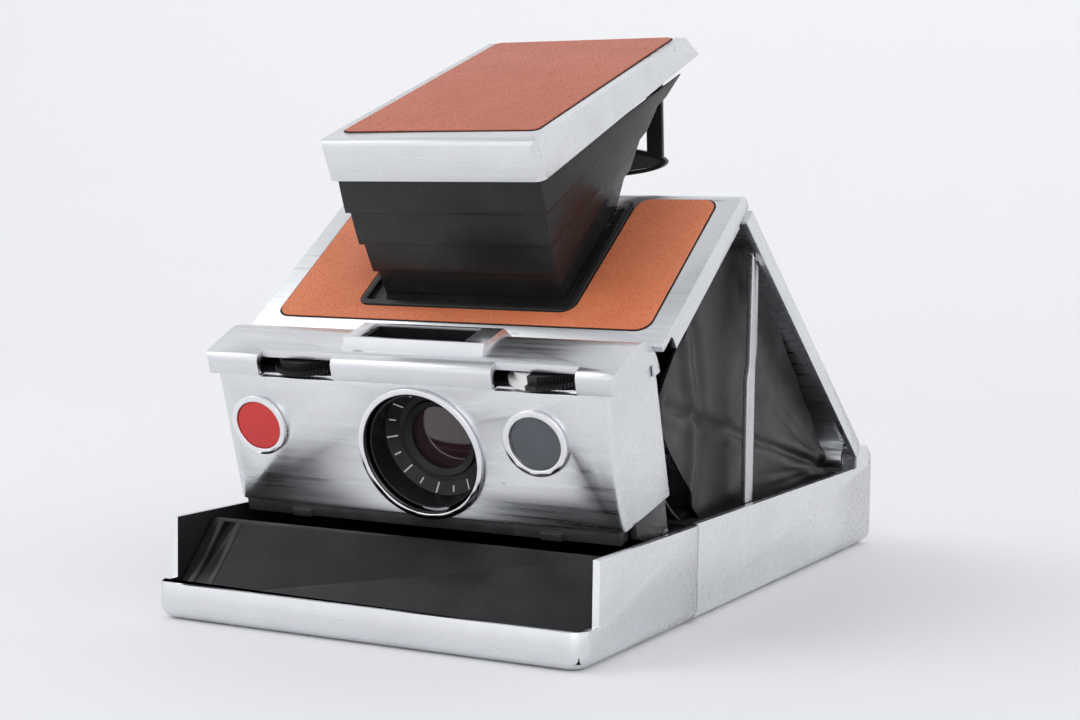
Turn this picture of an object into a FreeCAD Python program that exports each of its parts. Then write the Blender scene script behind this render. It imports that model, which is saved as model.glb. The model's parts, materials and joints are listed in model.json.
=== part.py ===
"""Folding instant camera, erected for use.

Frame: +X is the right side seen from the front, -Y is the front (lens side), +Z is up.
The origin is the middle of the underside, and every size is in millimetres.

The folding frame is a four-bar linkage seen from the side:
  A  rear cover on the base          B  apex, between the rear and front covers
  C  front cover on the lens housing D  lens housing on the base
A cover or housing is drawn flat in its own frame and then turned into its erected place.
"""
import FreeCAD, Part
import math
import os
from FreeCAD import Vector

# ---------------------------------------------------------------- driving sizes
HALF_W = 51.5            # half the width of the base and the covers
FRONT_Y = -89.0          # front lip of the film door
REAR_Y = 89.0            # back of the base
SEAM_Y = -32.3           # film door meets the base shell
SEAM_GAP = 0.6
DOOR_TOP = 21.0          # film door side walls
BASE_TOP = 21.5          # base side walls
BLOCK_TOP = 27.0         # raised block that holds the rear hinge
BLOCK_Y = 77.0           # front face of that block
LIP_TOP = 7.8            # low front lip of the film door
WALL_FRONT_Y = -82.0     # front edge of the film door side walls
SKIN = 1.5               # wall of the metal-faced shells
EDGE_R = 3.0             # rounding of the lower edges
CORNER_R = 5.0           # rounding of the upright corners

COVER_T = 1.5            # plate of the two folding covers
LEATHER_W = 46.8         # half width of the leather on them
LEATHER_T = 0.4
HINGE_R = 3.2            # rolled edge of each cover, round its hinge line
REAR_ANGLE = 36.2        # slope of the rear cover when erected
FRONT_ANGLE = 36.0       # slope of the front cover when erected
PIVOT_Z = 23.3           # height of hinge A
APEX = (-10.0, 89.0)     # hinge B when erected, in Y and Z
REAR_SKIRT = 4.3         # side skirt of the rear cover
FRONT_SKIRT = 5.2        # side skirt of the front cover

HOUSE_FOOT = (-62.2, 23.0)   # lower front edge of the lens housing, in Y and Z
HOUSE_H = 30.3               # height of its face, along the face
HOUSE_D = 19.3               # depth of its shell
HOUSE_W = 47.5               # half width at the face
HOUSE_FLARE = 1.9            # the sides widen by this towards the back
HOUSE_WALL = 1.2
HOOD_TOP = HOUSE_H + 6.4     # highest point of the top cover above the foot
HOOD_R = 9.2                 # rounding of the top cover's back edge
TOP_D = 20.7                 # back of the top cover, behind the face
TOP_T = 1.0
TOP_W = 49.7                 # half width of the top cover
FOLDED_FACE_Z = 4.0          # height of the face when the housing lies folded
FOLDED_TOP_Y = -88.3         # where its top lies when folded

LENS = (2.0, 14.4)           # lens axis on the face, X and height
LENS_R = 15.0
CELL = (30.0, 18.9)          # light sensor window
CELL_R = 7.3
BUTTON = (-38.4, 18.5)       # shutter button
BUTTON_R = 6.9
FOCUS_X = -26.4              # centre of the focus wheel
EXPOSURE_X = 31.4            # centre of the exposure wheel
WHEEL_R = 9.2
WHEEL_D = 8.4                # axle of either wheel, behind the face
PROUD = 0.8                  # rings stand this far out of the face

CAP_FOOT = (-59.6, 94.1)     # lower front edge of the finder cap, in Y and Z
CAP_ANGLE = 19.7
CAP_W = 26.5
CAP_H = 9.4
CAP_L = 81.6
CAP_T = 1.2
CAP_FOLD = 16.3              # the cap turns this far to lie on the front cover
CAP_DOWN = (41.0, 3.9)       # its lower front edge when down: along the cover, above hinge B
FINDER_N = 4                 # nested frames of the finder

CHAMBER_W = 45.0             # half width of the film chamber
CHAMBER_TOP = 18.7
RUN = 0.05                   # radial clearance of a shaft in its hole
GAP = 0.3                    # clearance between parts that pass each other

os.makedirs("parts", exist_ok=True)
X_AXIS = Vector(1, 0, 0)


# ---------------------------------------------------------------- small helpers
def box(x0, x1, y0, y1, z0, z1):
    return Part.makeBox(x1 - x0, y1 - y0, z1 - z0, Vector(x0, y0, z0))


def both(x0, x1, y0, y1, z0, z1):
    """The same box on the right and on the left."""
    return [box(x0, x1, y0, y1, z0, z1), box(-x1, -x0, y0, y1, z0, z1)]


def rod(y, z, r, x0, x1):
    """A cylinder along X."""
    return Part.makeCylinder(r, x1 - x0, Vector(x0, y, z), X_AXIS)


def prism(points, x0, x1):
    """A side outline in Y and Z, drawn out along X."""
    ring = [Vector(x0, y, z) for y, z in points]
    face = Part.Face(Part.makePolygon(ring + ring[:1]))
    return face.extrude(Vector(x1 - x0, 0, 0))


def plug(x, z, r, y0, y1):
    """A cylinder along Y, such as a ring or a hole in the face."""
    return Part.makeCylinder(r, y1 - y0, Vector(x, y0, z), Vector(0, 1, 0))


def ring(x, z, outer, inner, y0, y1):
    return plug(x, z, outer, y0, y1).cut(plug(x, z, inner, y0 - 1, y1 + 1))


def join(shapes):
    first, rest = shapes[0], shapes[1:]
    return first.multiFuse(rest).removeSplitter() if rest else first


def arc_points(centre, r, a0, a1, n=8):
    """Points along an arc in Y and Z, angles in degrees from +Y."""
    steps = [math.radians(a0 + (a1 - a0) * k / n) for k in range(n + 1)]
    return [(centre[0] + r * math.cos(a), centre[1] + r * math.sin(a)) for a in steps]


def edges_where(shape, test):
    return [e for e in shape.Edges if test(e)]


def along(edge, axis):
    """True for a straight edge that runs along the given axis."""
    if not isinstance(edge.Curve, (Part.Line, Part.LineSegment)):
        return False
    a, b = edge.Vertexes[0].Point, edge.Vertexes[-1].Point
    d = (b - a).normalize()
    return abs(abs(d.dot(axis)) - 1) < 1e-6


def placed(shapes, angle, origin):
    """Turn shapes about X and move them to their origin in Y and Z."""
    out = []
    for shape in shapes:
        s = shape.copy()
        s.rotate(Vector(0, 0, 0), X_AXIS, angle)
        s.translate(Vector(0, origin[0], origin[1]))
        out.append(s)
    return out


def turned(point, angle, origin):
    """The same move for one point in Y and Z."""
    c, s = math.cos(math.radians(angle)), math.sin(math.radians(angle))
    y, z = point
    return (origin[0] + c * y - s * z, origin[1] + s * y + c * z)


def write(node, shapes):
    solids = [s for shape in shapes for s in shape.Solids]
    shape = solids[0] if len(solids) == 1 else Part.makeCompound(solids)
    shape.exportStep("parts/" + node + ".step")


# ---------------------------------------------------------------- the linkage
HOUSE_TILT = 90.0 - 2.0 * REAR_ANGLE          # the mirror turns the lens axis by twice its slope
REAR_L = (APEX[1] - PIVOT_Z) / math.sin(math.radians(REAR_ANGLE))
A = (APEX[0] + REAR_L * math.cos(math.radians(REAR_ANGLE)), PIVOT_Z)
B = APEX
B_FOLDED = (A[0] - REAR_L, PIVOT_Z)


def solve2(a, b, c, d, e, f):
    """x and y of a x + b y = e, c x + d y = f."""
    det = a * d - b * c
    return ((e * d - b * f) / det, (a * f - e * c) / det)


def housing_pivot():
    """D in the housing's own frame: the point that stays put from erected to folded."""
    c, s = math.cos(math.radians(HOUSE_TILT)), math.sin(math.radians(HOUSE_TILT))
    rise = FOLDED_TOP_Y + HOOD_TOP - HOUSE_FOOT[0]
    return solve2(c, 1 - s, s - 1, c, rise, FOLDED_FACE_Z - HOUSE_FOOT[1])


def cover_pivot():
    """C in the front cover's frame: how far along from B, and how far below it."""
    c, s = math.cos(math.radians(HOUSE_TILT)), math.sin(math.radians(HOUSE_TILT))
    cb, sb = math.cos(math.radians(FRONT_ANGLE)), math.sin(math.radians(FRONT_ANGLE))
    k = B_FOLDED[0] - FOLDED_TOP_Y - HOOD_TOP
    m = PIVOT_Z - FOLDED_FACE_Z
    return solve2(s - cb, sb + c, -sb - c, s - cb,
                  HOUSE_FOOT[0] + c * m + s * k - B[0], HOUSE_FOOT[1] + s * m - c * k - B[1])


D_LOCAL = housing_pivot()
D = turned(D_LOCAL, HOUSE_TILT, HOUSE_FOOT)
C_ALONG, C_BELOW = cover_pivot()
C = turned((-C_ALONG, -C_BELOW), FRONT_ANGLE, B)


def apex_drift(turn):
    """Where the front cover's end of the apex sits in the rear cover's frame, part way folded.

    The turn runs from 0, erected, to 1, folded. Both ends close; between them the apex parts a little.
    """
    c_now = about(C, D, 2 * REAR_ANGLE * turn)
    arm = (B[0] - C[0], B[1] - C[1])
    front = turned(arm, -FRONT_ANGLE * turn, c_now)
    back = about(front, A, -REAR_ANGLE * turn)
    return turned((back[0] - A[0], back[1] - A[1]), REAR_ANGLE, (0, 0))


def about(point, centre, angle):
    """Turn a point in Y and Z about a centre."""
    return turned((point[0] - centre[0], point[1] - centre[1]), angle, centre)


def in_rear(shapes):
    return placed(shapes, -REAR_ANGLE, A)


def in_front(shapes):
    return placed(shapes, FRONT_ANGLE, B)


def in_housing(shapes):
    return placed(shapes, HOUSE_TILT, HOUSE_FOOT)


def in_cap(shapes):
    return placed(shapes, CAP_ANGLE, CAP_FOOT)


# ---------------------------------------------------------------- base
CHASSIS_W = 46.5         # outside of the film chamber's side rails
DOOR_PIN = (SEAM_Y - 1.9, 1.7)     # hinge line of the film door
DOOR_KNUCKLE_R = 1.7
PIN_R = 0.8
KNUCKLES = [(-40, -26), (-7, 7), (26, 40)]     # X ranges of the base's knuckles
COUNTER = (-30.0, 9.0)             # centre of the picture counter, X and Z
COUNTER_SIGHT = 13.0               # height of its window
MOTOR = (81.0, 7.0)                # motor axis, Y and Z
MODULE = 0.5
TEETH = (10, 18)
GEAR_GAP = 0.12                    # extra distance between the gear axes, so the teeth run free
GEAR_AXIS = (MOTOR[0], MOTOR[1] + sum(TEETH) * MODULE / 2 + GEAR_GAP)


def base_shell():
    outline = [(SEAM_Y, 0), (REAR_Y, 0), (REAR_Y, BLOCK_TOP - 6)]
    outline += arc_points((REAR_Y - 6, BLOCK_TOP - 6), 6, 0, 90)[1:]
    outline += [(BLOCK_Y + 1.9, BLOCK_TOP), (BLOCK_Y, BLOCK_TOP - 2.6), (BLOCK_Y, BASE_TOP), (SEAM_Y, BASE_TOP)]
    body = prism(outline, -HALF_W, HALF_W)
    body = body.makeFillet(EDGE_R, edges_where(body, lambda e: bottom_edge(e, SEAM_Y)))
    inside = [box(-HALF_W + SKIN, HALF_W - SKIN, SEAM_Y - 1, BLOCK_Y + 0.01, SKIN, 40),
              box(-47.3, 47.3, BLOCK_Y - 1, REAR_Y - SKIN, SKIN, BLOCK_TOP - SKIN),
              box(-47.3, 47.3, BLOCK_Y - 1, A[0] + HINGE_R + GAP, SKIN, 40)]
    body = body.cut(join(inside))
    window = plug(COUNTER[0], COUNTER_SIGHT, 3.0, REAR_Y - 3, REAR_Y + 1)
    sockets = rod(*A, 1.0, -HALF_W + 1.0, HALF_W - 1.0)
    body = body.cut(window).cut(sockets)
    for x0, x1 in KNUCKLES:
        tongue = box(x0, x1, DOOR_PIN[0], SEAM_Y + 1.0, 0.1, DOOR_PIN[1] + 1.0)
        body = body.fuse(tongue).fuse(rod(*DOOR_PIN, DOOR_KNUCKLE_R - 0.1, x0, x1))
    body = body.cut(rod(*DOOR_PIN, PIN_R, -48, 48))
    latch = box(-HALF_W - 1, -HALF_W + SKIN + 1, SEAM_Y + 6, SEAM_Y + 14, 5, 15)
    post = plug(*COUNTER, 0.7, REAR_Y - 4.5, REAR_Y - SKIN + 0.1)
    return [body.cut(latch).fuse(post).removeSplitter()]


def bottom_edge(edge, open_y):
    """Straight edges of the underside, except the one at the open end."""
    points = [v.Point for v in edge.Vertexes]
    low = all(abs(p.z) < 1e-6 for p in points)
    return low and not all(abs(p.y - open_y) < 1e-6 for p in points)


def base_window():
    """Clear window over the picture counter."""
    return [plug(COUNTER[0], COUNTER_SIGHT, 2.95, REAR_Y - SKIN, REAR_Y - 0.3)]


def chassis():
    """Black inner frame: two rails, the picture gate above the film and the hinge arms."""
    top = CHAMBER_TOP + 1.5
    front = B_FOLDED[0] + HINGE_R + GAP
    rails = both(CHAMBER_W, CHASSIS_W, SEAM_Y + 1.0, 74.0, SKIN, top - 0.6)
    gate = box(-CHASSIS_W, CHASSIS_W, front, 74.0, CHAMBER_TOP, top)
    gate = gate.cut(box(-39.5, 39.5, -15, 64, 0, 40))
    back = box(-CHASSIS_W, CHASSIS_W, 72.5, 74.0, SKIN, top)
    arms = []
    for side in (1, -1):
        x0, x1 = sorted((side * CHAMBER_W, side * (CHASSIS_W - 0.1)))
        outline = [(SEAM_Y + 2, 4.0), (SEAM_Y + 2, top - 0.6), (SEAM_Y - 3, top - 0.6), (D[0], D[1] + 2.0)]
        outline += arc_points(D, 2.0, 100, 250)[1:]
        outline += [(DOOR_PIN[0] - 3.5, 4.5)]
        arm = prism(outline, x0, x1)
        arms.append(arm.cut(rod(*D, 0.95, -60, 60)))
    lugs = []
    for x in (13.5, 38.0):
        lug = box(x, x + 2, 73.0, GEAR_AXIS[0] + 3, GEAR_AXIS[1] - 3, GEAR_AXIS[1] + 3)
        lugs.append(lug.cut(rod(*GEAR_AXIS, 0.9, x - 1, x + 3)))
    return [join(rails + [gate, back] + arms + lugs)]


def hinge_pins():
    """Two short pins at A, two at D."""
    rear = [rod(*A, 0.95, 42.0, HALF_W - 1.2), rod(*A, 0.95, -HALF_W + 1.2, -42.0)]
    front = [rod(*D, 0.95, CHAMBER_W, 48.9), rod(*D, 0.95, -48.9, -CHAMBER_W)]
    return rear, front


def film_spring():
    """Bowed leaf spring on the chamber floor that lifts the film pack."""
    bow = [(10, SKIN), (11, SKIN), (25, SKIN + 1.6), (39, SKIN), (40, SKIN), (40, SKIN + 0.4)]
    bow += [(39, SKIN + 0.4), (25, SKIN + 2.0), (11, SKIN + 0.4), (10, SKIN + 0.4)]
    return [prism(bow, x, x + 6) for x in (-26, 20)]


def contacts():
    """Two strips that touch the battery under the film pack."""
    strip = [(50, SKIN), (66, SKIN), (66, SKIN + 0.4), (58, SKIN + 1.2), (50, SKIN + 0.4)]
    return [prism(strip, x, x + 4) for x in (-8, 4)]


# ---------------------------------------------------------------- drive
def gear(teeth, centre, x0, x1, phase, bore):
    """Spur gear about X with straight-sided teeth."""
    r = teeth * MODULE / 2
    tip, root = r + 0.8 * MODULE, r - 1.1 * MODULE
    points = []
    for k in range(teeth):
        mid = phase + 360.0 * k / teeth
        for part, radius in ((-0.29, root), (-0.13, tip), (0.13, tip), (0.29, root)):
            points += arc_points(centre, radius, mid + part * 360 / teeth, mid, 1)[:1]
    body = prism(points, x0, x1)
    return body.cut(rod(*centre, bore, x0 - 1, x1 + 1))


def motor():
    """Motor can and its shaft."""
    return [rod(*MOTOR, 5.0, -22, 6).fuse(rod(*MOTOR, 0.6, 6, 13))]


def motor_pinion():
    return [gear(TEETH[0], MOTOR, 8, 12, 90, 0.6 + RUN)]


def drive_gear():
    return [gear(TEETH[1], GEAR_AXIS, 8.5, 11.5, 270 + 180 / TEETH[1], 0.9 + RUN)]


def gear_shaft():
    return [rod(*GEAR_AXIS, 0.9, 7.5, 40.0)]


def counter_dial():
    """Picture counter disc behind the back window."""
    disc = plug(*COUNTER, 6.4, REAR_Y - 3.4, REAR_Y - 2.4)
    return [disc.cut(plug(*COUNTER, 0.7 + RUN, 70, 95))]


# ---------------------------------------------------------------- film door
ROLLER_R = 2.2
LOWER_ROLLER = (-42.0, 5.0)
UPPER_ROLLER = (LOWER_ROLLER[0], LOWER_ROLLER[1] + 2 * ROLLER_R + 0.3)
DECK_PIVOT = (-85.3, 2.35)
DECK_ANGLE = 47.0
DECK_L = 23.0
DECK_T = 1.0


def film_door_shell():
    body = box(-HALF_W, HALF_W, FRONT_Y, SEAM_Y - SEAM_GAP, 0, DOOR_TOP)
    upright = edges_where(body, lambda e: along(e, Vector(0, 0, 1)) and e.Vertexes[0].Point.y < FRONT_Y + 1)
    body = body.makeFillet(CORNER_R, upright)
    rear = SEAM_Y - SEAM_GAP
    body = body.makeFillet(EDGE_R, [e for e in body.Edges if bottom_run(e, rear)])
    body = body.cut(box(-HALF_W + SKIN, HALF_W - SKIN, FRONT_Y + SKIN, 0, SKIN, 40))
    body = body.cut(box(-60, 60, FRONT_Y - 1, WALL_FRONT_Y, LIP_TOP, 40))
    body = body.cut(box(-44, 44, DOOR_PIN[0] - DOOR_KNUCKLE_R - GAP, 0, -1, 6))
    body = body.cut(box(-60, 60, DOOR_PIN[0], 0, -1, DOOR_PIN[1]))
    sections = [(-43, -40.4), (-25.6, -7.4), (7.4, 25.6), (40.4, 43)]
    knuckles = [rod(*DOOR_PIN, DOOR_KNUCKLE_R - 0.1, x0, x1) for x0, x1 in sections]
    tongues = [box(x0, x1, DOOR_PIN[0] - 3, DOOR_PIN[0], 0.1, DOOR_PIN[1] + 0.6) for x0, x1 in sections]
    body = join([body] + knuckles + tongues)
    return [body.cut(rod(*DOOR_PIN, PIN_R + RUN, -48, 48)).removeSplitter()]


def bottom_run(edge, open_y):
    """Edges of the underside, curved ones included, except the one at the open end."""
    points = [edge.valueAt(edge.FirstParameter + f * (edge.LastParameter - edge.FirstParameter))
              for f in (0, 0.5, 1)]
    low = all(abs(p.z) < 1e-6 for p in points)
    return low and not all(abs(p.y - open_y) < 1e-6 for p in points)


def door_pin():
    return [rod(*DOOR_PIN, PIN_R, -43, 43)]


def roller(centre):
    return [rod(*centre, ROLLER_R, -41, 41).fuse(rod(*centre, 1.0, -43.5, 43.5))]


def roller_cheeks():
    """Two cheeks that hold the rollers inside the film door."""
    cheeks = []
    for x in (-43.8, 42.0):
        y = LOWER_ROLLER[0]
        cheek = box(x, x + 1.8, y - 3.5, y + 3.5, SKIN, UPPER_ROLLER[1] + 2.2)
        for centre in (LOWER_ROLLER, UPPER_ROLLER):
            cheek = cheek.cut(rod(*centre, 1.0 + RUN, x - 1, x + 3))
        cheeks.append(cheek)
    return cheeks


def deck(shapes):
    return placed(shapes, DECK_ANGLE, DECK_PIVOT)


def deck_flap():
    """Black sloping flap in front of the housing; it lies down when the camera is folded."""
    plate = box(-49.2, 49.2, 0, DECK_L, -DECK_T / 2, DECK_T / 2)
    barrel = rod(0, 0, 0.8, -49.2, 49.2)
    ribs = [box(x, x + 1.6, 3, DECK_L - 1, DECK_T / 2 - 0.1, DECK_T / 2 + 0.2) for x in (-47.5, -42.5)]
    body = join([plate, barrel] + ribs).cut(rod(0, 0, 0.45 + RUN, -60, 60))
    return deck([body.removeSplitter()])


def deck_pin():
    return deck([rod(0, 0, 0.45, -HALF_W + SKIN, HALF_W - SKIN)])


def door_latch():
    """Sliding catch in the left wall that frees the film door."""
    inner = -HALF_W + SKIN
    tab = box(-HALF_W, inner + 0.1, SEAM_Y + 6.3, SEAM_Y + 13.7, 8.0, 14.7)
    foot = box(inner + RUN, inner + 0.9, SEAM_Y + 5.0, SEAM_Y + 15.0, 7.8, 14.0)
    return [tab.fuse(foot).removeSplitter()]


# ---------------------------------------------------------------- covers
def rear_cover_shell():
    start = -REAR_L + HINGE_R + GAP
    end = BLOCK_Y - A[0] - 0.6
    top, under = HINGE_R, HINGE_R - COVER_T
    plate = box(-HALF_W, HALF_W, start, end, under, top)
    skirts = both(HALF_W - SKIN, HALF_W, start, end, top - REAR_SKIRT, top)
    tail = box(-47.0, 47.0, end - 0.1, 0, under, top)
    barrel = rod(0, 0, HINGE_R, -47.0, 47.0)
    body = join([plate, tail, barrel] + skirts)
    body = body.cut(rod(0, 0, 0.95 + RUN, 40, 60)).cut(rod(0, 0, 0.95 + RUN, -60, -40))
    drift = [rod(*apex_drift(k / 12), HINGE_R + GAP, -60, 60) for k in range(13)]
    return in_rear([body.cut(join(drift)).removeSplitter()])


def rear_leather():
    skin = box(-LEATHER_W, LEATHER_W, -REAR_L + 6, -9.0, HINGE_R, HINGE_R + LEATHER_T)
    return in_rear([rounded_plate(skin, 4.0)])


def rounded_plate(plate, r):
    """Round the corners of a plate, those edges that run through its thickness."""
    return plate.makeFillet(r, edges_where(plate, lambda e: along(e, Vector(0, 0, 1))))


def main_mirror():
    """Fixed mirror under the rear cover, wide at the top and narrow at the bottom."""
    under = HINGE_R - COVER_T
    ring = [Vector(-41, -REAR_L + 14, under - 1.4), Vector(41, -REAR_L + 14, under - 1.4),
            Vector(30, -22, under - 1.4), Vector(-30, -22, under - 1.4)]
    face = Part.Face(Part.makePolygon(ring + ring[:1]))
    return in_rear([face.extrude(Vector(0, 0, 1.4))])


COVER_END = C_ALONG + 0.4          # lower edge of the front cover, measured from B
TIP = C_ALONG - 5.4                # where its side skirts end
SURROUND = (3.5, 41.6, 26.0)       # opening for the finder: start, end, half width
FLANGE = 0.9                       # the finder's black frame laps over the cover by this


def front_cover_shell():
    top, under = HINGE_R, HINGE_R - COVER_T
    plate = box(-HALF_W, HALF_W, -COVER_END, 0, under, top)
    low = top - FRONT_SKIRT
    skirt = [(0, low), (-TIP, low), (-TIP - 0.2, 0.9), (-TIP - 0.9, under), (-TIP - 0.9, top), (0, top)]
    skirts = [prism(skirt, HALF_W - SKIN, HALF_W), prism(skirt, -HALF_W, -HALF_W + SKIN)]
    barrel = rod(0, 0, HINGE_R, -HALF_W, HALF_W)
    under_ends = both(HALF_W - SKIN - GAP, HALF_W + 1, -4, 4, -4, -1.3)
    body = join([plate, barrel] + skirts).cut(join(under_ends))
    s0, s1, w = SURROUND
    opening = box(-w, w, -s1, -s0, under - 1, top + 1)
    return in_front([body.cut(opening).removeSplitter()])


def front_leather():
    top = HINGE_R
    skin = rounded_plate(box(-LEATHER_W, LEATHER_W, -COVER_END + 4.5, -0.5, top, top + LEATHER_T), 3.5)
    s0, s1, w = SURROUND
    lap = FLANGE + 0.1
    hole = box(-w - lap, w + lap, -s1 - lap, 0, top - 1, top + 2)
    return in_front([skin.cut(hole)])


def finder_surround():
    """Black sunk frame round the foot of the finder, with a flange that laps over the cover."""
    s0, s1, w = SURROUND
    top = HINGE_R
    tray = box(-w + RUN, w - RUN, -s1 + RUN, -s0 - RUN, top - 2.0, top)
    rim = rounded_plate(box(-w - FLANGE, w + FLANGE, -s1 - FLANGE, -s0 + 1.5, top, top + 0.6), 2.0)
    well = box(-w + 0.7, w - 0.7, -s1 + 0.7, 0, top - 0.6, top + 2)
    last = FINDER_N - 1
    foot = finder_outline(last, RUN, SECTOR[last], SECTOR[last] + 12)
    width = FINDER_W - last * FINDER_STEP + RUN
    return [in_front([tray.fuse(rim).cut(well).removeSplitter()])[0].cut(prism(foot, -width, width))]


# ---------------------------------------------------------------- side braces
BRACE_X = (48.3, 49.6)
BRACE_TOP = (-94.0, -0.6)           # in the rear cover's frame
BRACE_L = 58.6
BRACE_FRONT, BRACE_BACK = 3.4, 1.9  # the brace reaches this far in front of its pivot and behind it


def brace_frame(shapes):
    top = turned(BRACE_TOP, -REAR_ANGLE, A)
    return placed(shapes, 0, top)


def side_braces():
    """Flat links that lock the covers up; each has a small step half way."""
    out = []
    f, r = BRACE_FRONT, BRACE_BACK
    outline = [(-f + 1.2, -BRACE_L * 0.42), (-r, -2.0), (-r, 0)]
    outline += arc_points((0, 0), r, 180, 0, 10)[1:]
    outline += [(r, -BRACE_L * 0.36), (r - 0.9, -BRACE_L * 0.42), (r - 0.9, -BRACE_L), (-f, -BRACE_L)]
    outline += [(-f, -BRACE_L * 0.48)]
    for side in (1, -1):
        x0, x1 = sorted((side * BRACE_X[0], side * BRACE_X[1]))
        out.append(prism(outline, x0, x1).cut(rod(0, 0, 0.8 + RUN, -60, 60)))
    return brace_frame(out)


def brace_pins():
    """Pivots of the braces, in the rear cover's skirts."""
    y, z = BRACE_TOP
    pins = []
    for side in (1, -1):
        x0, x1 = sorted((side * (BRACE_X[0] - 0.6), side * (HALF_W - SKIN)))
        pins.append(rod(y, z, 0.8, x0, x1))
    return in_rear(pins)


def brace_springs():
    """Bent wire that snaps each brace straight."""
    wires = []
    path = [(1.3, -1.2), (3.2, -5.0), (4.4, -12.0), (4.4, -20.0)]
    for side in (1, -1):
        x = side * (BRACE_X[0] - 0.9)
        points = [Vector(x, y, z) for y, z in path]
        pieces = [wire_run(points[k], points[k + 1], 0.35) for k in range(len(points) - 1)]
        balls = [Part.makeSphere(0.35, p) for p in points[1:-1]]
        wires.append(join(pieces + balls))
    return brace_frame(wires)


def wire_run(a, b, r):
    return Part.makeCylinder(r, (b - a).Length, a, b - a)


# ---------------------------------------------------------------- lens housing
SLOTS = [(-35.8, -16.9), (21.9, 41.0)]       # X ranges of the two wheel openings
SOCKET = (-12.4, 12.9, 6.1, 13.6)            # flash socket: X range, then front and back
SOCKET_FLOOR = HOUSE_H + 1.2
BLADE_TRAVEL = 16.0
EYE_FOLD = -75.3
SLOT_Z = HOUSE_H - 0.4       # the openings start at this height
SLOT_BACK = 2.2              # and reach back to here in the top cover


def flared(width, d0, d1, z0, z1):
    """A block whose sides widen towards the back, about the housing's own axes."""
    w0 = width + HOUSE_FLARE * d0 / HOUSE_D
    w1 = width + HOUSE_FLARE * d1 / HOUSE_D
    ring = [Vector(-w0, d0, z0), Vector(w0, d0, z0), Vector(w1, d1, z0), Vector(-w1, d1, z0)]
    return Part.Face(Part.makePolygon(ring + ring[:1])).extrude(Vector(0, 0, z1 - z0))


def housing_shell():
    body = flared(HOUSE_W, 0, HOUSE_D, 0, HOUSE_H)
    upright = edges_where(body, lambda e: along(e, Vector(0, 0, 1)) and e.Vertexes[0].Point.y < 1)
    body = body.makeFillet(1.6, upright)
    t = HOUSE_WALL
    body = body.cut(flared(HOUSE_W - t, t, HOUSE_D + 1, t, HOUSE_H - t))
    holes = [plug(LENS[0], LENS[1], LENS_R - 0.8, -1, t + 1), plug(CELL[0], CELL[1], CELL_R - 1.0, -1, t + 1),
             plug(BUTTON[0], BUTTON[1], BUTTON_R - 1.0, -1, t + 1)]
    for x0, x1 in SLOTS:
        holes.append(box(x0, x1, -1, 1.6, SLOT_Z, HOUSE_H + 10))
    holes.append(prism([(HOUSE_D, HOUSE_H - 3.5), (HOUSE_D - 1.4, HOUSE_H + 0.7), (HOUSE_D + 1, HOUSE_H + 0.7)],
                       -HALF_W, HALF_W))
    posts = [Part.makeCylinder(1.5, 3.1, Vector(x, WHEEL_D, HOUSE_H)) for x in (FOCUS_X, EXPOSURE_X)]
    return in_housing([body.cut(join(holes)).multiFuse(posts).removeSplitter()])


def housing_back():
    """Black back plate with the light tunnel and the guide of the shutter button."""
    t = HOUSE_WALL
    plate = flared(HOUSE_W - t - 0.1, HOUSE_D - 1.2, HOUSE_D, t + 0.1, HOUSE_H - 3.7)
    plate = plate.cut(plug(*LENS, 9.0, 0, 30))
    guide = ring(*BUTTON, 3.0, 1.2 + RUN, 5.2, HOUSE_D - 1.1)
    return in_housing([plate.fuse(guide).removeSplitter()])


def top_profile(inset):
    """Side outline of the top cover, or of its inside when inset by the wall."""
    centre = (TOP_D - HOOD_R, HOOD_TOP - HOOD_R)
    r = HOOD_R - inset
    lip = HOUSE_H + 3.0 - inset
    points = [(-0.6 + inset, HOUSE_H + 0.05), (-0.6 + inset, lip)]
    points += arc_points((1.2 + inset * 0.4, lip), 1.8 - inset * 0.6, 180, 96, 4)[1:]
    points += arc_points(centre, r, 97, 0, 10)
    return points


def top_cover():
    h = HOUSE_H
    outer = prism(top_profile(0) + [(17.6, HOOD_TOP - HOOD_R), (17.6, h + 0.05)], -TOP_W, TOP_W)
    hollow = top_profile(TOP_T) + [(TOP_D - TOP_T, h - 4.3), (-0.6 + TOP_T, h - 4.3)]
    inner = prism(hollow, -TOP_W + SKIN, TOP_W - SKIN)
    block = [(3.9, 3.7), (3.9, 5.5), (5.4, 7.7), (14.4, 7.7), (17.0, 5.1), (17.0, 2.7)]
    raised = prism([(d, h + z) for d, z in block], -16.2, 18.0).cut(inner)
    body = outer.fuse(raised).cut(inner)
    x0, x1, d0, d1 = SOCKET
    body = body.cut(box(x0 - RUN, x1 + RUN, d0 - RUN, d1 + RUN, h - 0.3, h + 20))
    for x0, x1 in SLOTS:
        body = body.cut(box(x0, x1, -2, SLOT_BACK, h - 10, h + 10))
    body = body.cut(flared(HOUSE_W + 0.15, -0.05, HOUSE_D + 0.05, 20, HOUSE_H + 0.2))
    corners = edges_where(body, lambda e: e.Length < 4 and min(abs(v.Point.x) for v in e.Vertexes) > TOP_W - 0.01
                          and max(v.Point.y for v in e.Vertexes) < 0.5 and along(e, Vector(0, 0, 1)))
    return in_housing([body.makeFillet(1.6, corners).removeSplitter()])


def flash_socket():
    """Open black socket for a flash bar, sunk into the top cover."""
    x0, x1, d0, d1 = SOCKET
    trough = box(x0, x1, d0, d1, SOCKET_FLOOR - 0.6, HOUSE_H + 7.4)
    return in_housing([trough.cut(box(x0 + 0.7, x1 - 0.7, d0 + 0.6, d1 - 0.6, SOCKET_FLOOR, HOUSE_H + 10))])


def flash_contacts():
    d = SOCKET[2] + 0.6
    strips = [box(x, x + 0.8, d, d + 0.2, SOCKET_FLOOR, HOUSE_H + 6.2) for x in (-9, -5.5, -2, 1.5, 5, 8.5)]
    return in_housing(strips)


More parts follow.
